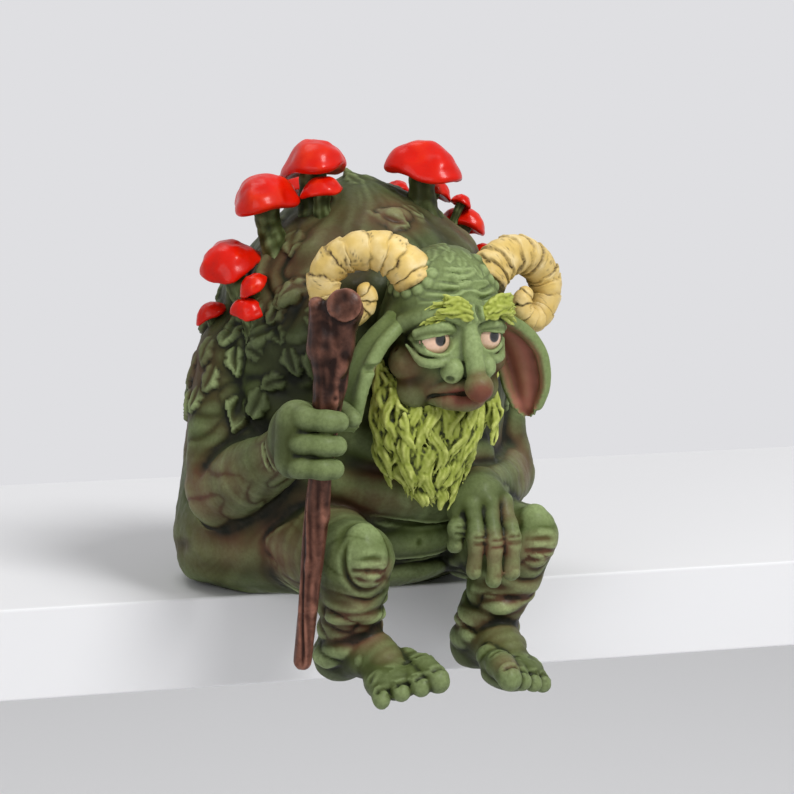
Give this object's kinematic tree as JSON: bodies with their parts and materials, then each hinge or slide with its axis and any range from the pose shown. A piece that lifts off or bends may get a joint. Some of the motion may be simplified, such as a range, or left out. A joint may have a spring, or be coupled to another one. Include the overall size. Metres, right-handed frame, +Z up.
{
  "type": "troll shelf sitter figurine",
  "caption": "Seated green troll figurine with ram horns, shaggy beard and red mushrooms on its hump; its legs hang over a shelf edge and a loose staff slides in its fist.",
  "frame": {"origin": "on the flat seat that rests on the board, in the figure's middle plane", "axes": "+Z up from the board, -Y the way the face looks, -X the figure's right hand"},
  "size_m": [0.0725, 0.086, 0.1057],
  "materials": {
    "skin_paint": "cast resin, matte green paint with brown airbrushing",
    "beard_paint": "cast resin, matte yellow-green paint",
    "horn_paint": "cast resin, satin cream paint with brown grooves",
    "eye_paint": "gloss peach paint with a black pupil",
    "cap_paint": "gloss orange-red paint",
    "staff_paint": "cast resin, satin dark red-brown paint"
  },
  "bodies": {
    "figure": {"right_hand": "skin_paint", "right_ear": "skin_paint", "right_foot": "skin_paint", "right_arm": "skin_paint", "right_leg": "skin_paint", "right_eye": "eye_paint", "right_brow": "beard_paint", "right_horn": "horn_paint", "right_stalk_1": "skin_paint", "right_cap_1": "cap_paint", "right_stalk_2": "skin_paint", "right_cap_2": "cap_paint", "right_stalk_3": "skin_paint", "right_cap_3": "cap_paint", "right_stalk_4": "skin_paint", "right_cap_4": "cap_paint", "right_stalk_5": "skin_paint", "right_cap_5": "cap_paint", "right_stalk_6": "skin_paint", "right_cap_6": "cap_paint", "right_stalk_7": "skin_paint", "right_cap_7": "cap_paint", "right_stalk_8": "skin_paint", "right_cap_8": "cap_paint", "left_hand": "skin_paint", "left_ear": "skin_paint", "left_foot": "skin_paint", "left_arm": "skin_paint", "left_leg": "skin_paint", "left_eye": "eye_paint", "left_brow": "beard_paint", "left_horn": "horn_paint", "left_stalk_1": "skin_paint", "left_cap_1": "cap_paint", "left_stalk_2": "skin_paint", "left_cap_2": "cap_paint", "left_stalk_3": "skin_paint", "left_cap_3": "cap_paint", "left_stalk_4": "skin_paint", "left_cap_4": "cap_paint", "left_stalk_5": "skin_paint", "left_cap_5": "cap_paint", "left_stalk_6": "skin_paint", "left_cap_6": "cap_paint", "left_stalk_7": "skin_paint", "left_cap_7": "cap_paint", "left_stalk_8": "skin_paint", "left_cap_8": "cap_paint", "head": "skin_paint", "torso": "skin_paint", "beard": "beard_paint"},
    "staff": {"staff": "staff_paint"}
  },
  "joints": [
    {"name": "staff_slide", "type": "slide", "parent": "figure", "child": "staff", "axis": [0.0776, -0.0627, 0.995], "range_m": [0, 0.045]}
  ]
}
